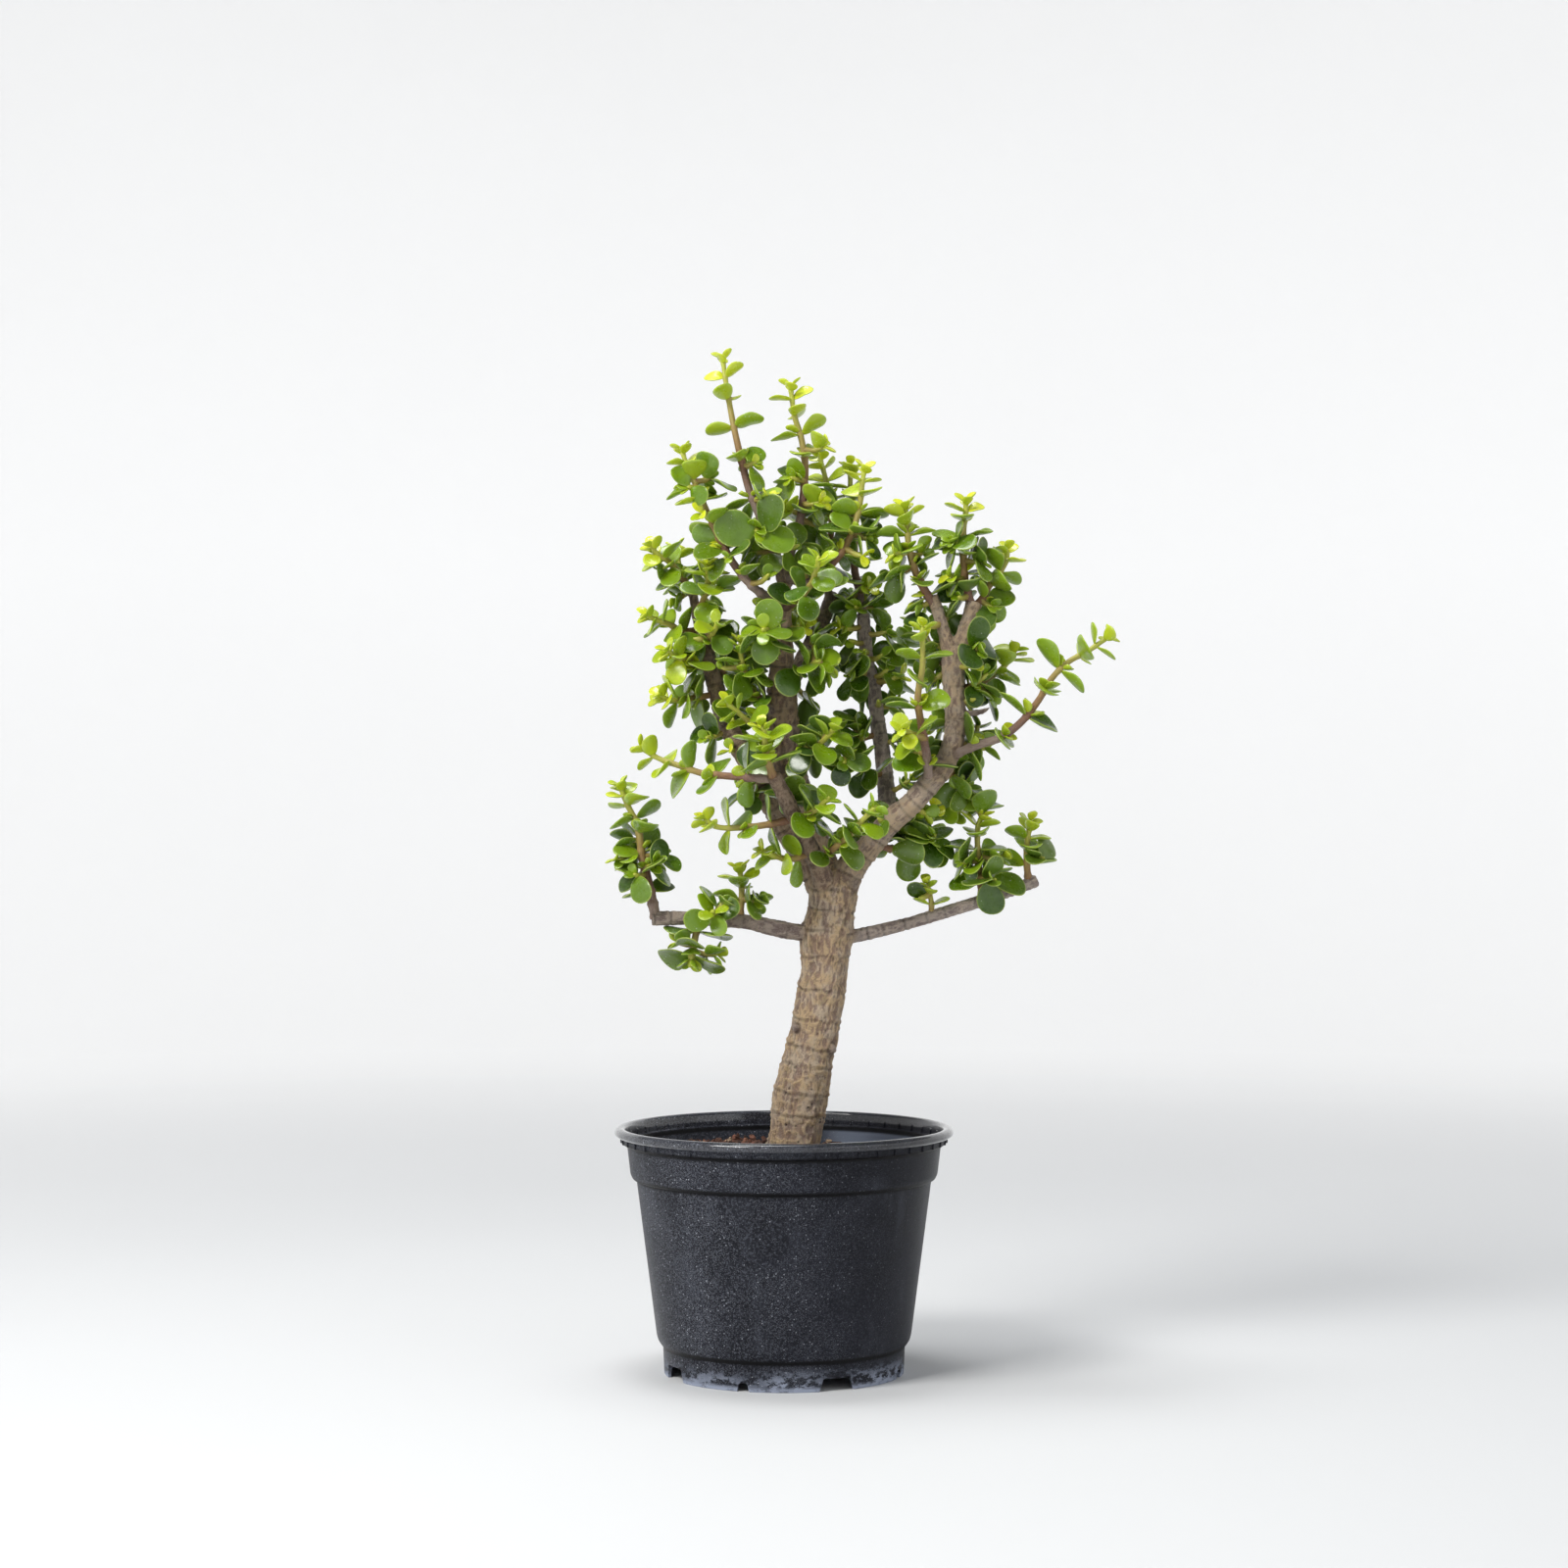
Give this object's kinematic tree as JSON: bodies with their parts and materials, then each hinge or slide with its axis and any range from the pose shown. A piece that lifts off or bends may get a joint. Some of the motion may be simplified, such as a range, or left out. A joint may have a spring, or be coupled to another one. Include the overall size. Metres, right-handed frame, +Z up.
{
  "type": "potted dwarf jade plant",
  "caption": "Small succulent tree with a leaning bare trunk, forked limbs and upright shoots of round paired leaves, rooted in a tapered black nursery pot.",
  "frame": {"origin": "centre of the pot's underside, where its centre pad meets the table", "axes": "+Z up, -Y towards the side that faces the viewer, +X to that viewer's right"},
  "size_m": [0.2397, 0.16, 0.4813],
  "materials": {
    "pot_plastic": "satin moulded plastic, dusty, scuffed at the foot",
    "potting_mix": "coarse damp bark and peat crumbs",
    "bark": "rough fissured bark with ring scars",
    "leaf": "smooth waxy leaf skin, yellow-green when young"
  },
  "bodies": {
    "root": {"branch_low_left": "bark", "branch_low_right": "bark", "limb_back": "bark", "limb_centre": "bark", "limb_front": "bark", "limb_inner_right": "bark", "limb_left": "bark", "limb_right": "bark", "pot": "pot_plastic", "potting_mix": "potting_mix", "shoot_arch_left": "leaf", "shoot_back_centre": "leaf", "shoot_back_left": "leaf", "shoot_back_right": "leaf", "shoot_back_right_limb": "leaf", "shoot_back_top": "leaf", "shoot_centre_arch_right": "leaf", "shoot_centre_low_right": "leaf", "shoot_centre_right_front": "leaf", "shoot_centre_right_rosette": "leaf", "shoot_centre_rosette": "leaf", "shoot_crown_second": "leaf", "shoot_crown_tall": "leaf", "shoot_crown_third": "leaf", "shoot_front_centre": "leaf", "shoot_front_upright": "leaf", "shoot_inner_left_upright": "leaf", "shoot_inner_low_left": "leaf", "shoot_inner_right_top": "leaf", "shoot_inner_twig_left": "leaf", "shoot_left_front_leafy": "leaf", "shoot_left_front_rosette": "leaf", "shoot_left_high": "leaf", "shoot_left_low_fork": "leaf", "shoot_left_lower": "leaf", "shoot_left_mid": "leaf", "shoot_left_middle": "leaf", "shoot_left_reach": "leaf", "shoot_left_upper": "leaf", "shoot_left_upper_back": "leaf", "shoot_left_yellow": "leaf", "shoot_low_left_front": "leaf", "shoot_low_left_hanging": "leaf", "shoot_low_left_mid": "leaf", "shoot_low_left_tall": "leaf", "shoot_low_right_end": "leaf", "shoot_low_right_mid": "leaf", "shoot_low_right_small": "leaf", "shoot_mid_front": "leaf", "shoot_mid_small": "leaf", "shoot_right_droop_back": "leaf", "shoot_right_fork_out": "leaf", "shoot_right_front_rosette": "leaf", "shoot_right_inner_tall": "leaf", "shoot_right_low_back": "leaf", "shoot_right_low_out": "leaf", "shoot_right_mid": "leaf", "shoot_right_reach": "leaf", "shoot_right_tall": "leaf", "trunk": "bark"}
  },
  "joints": []
}
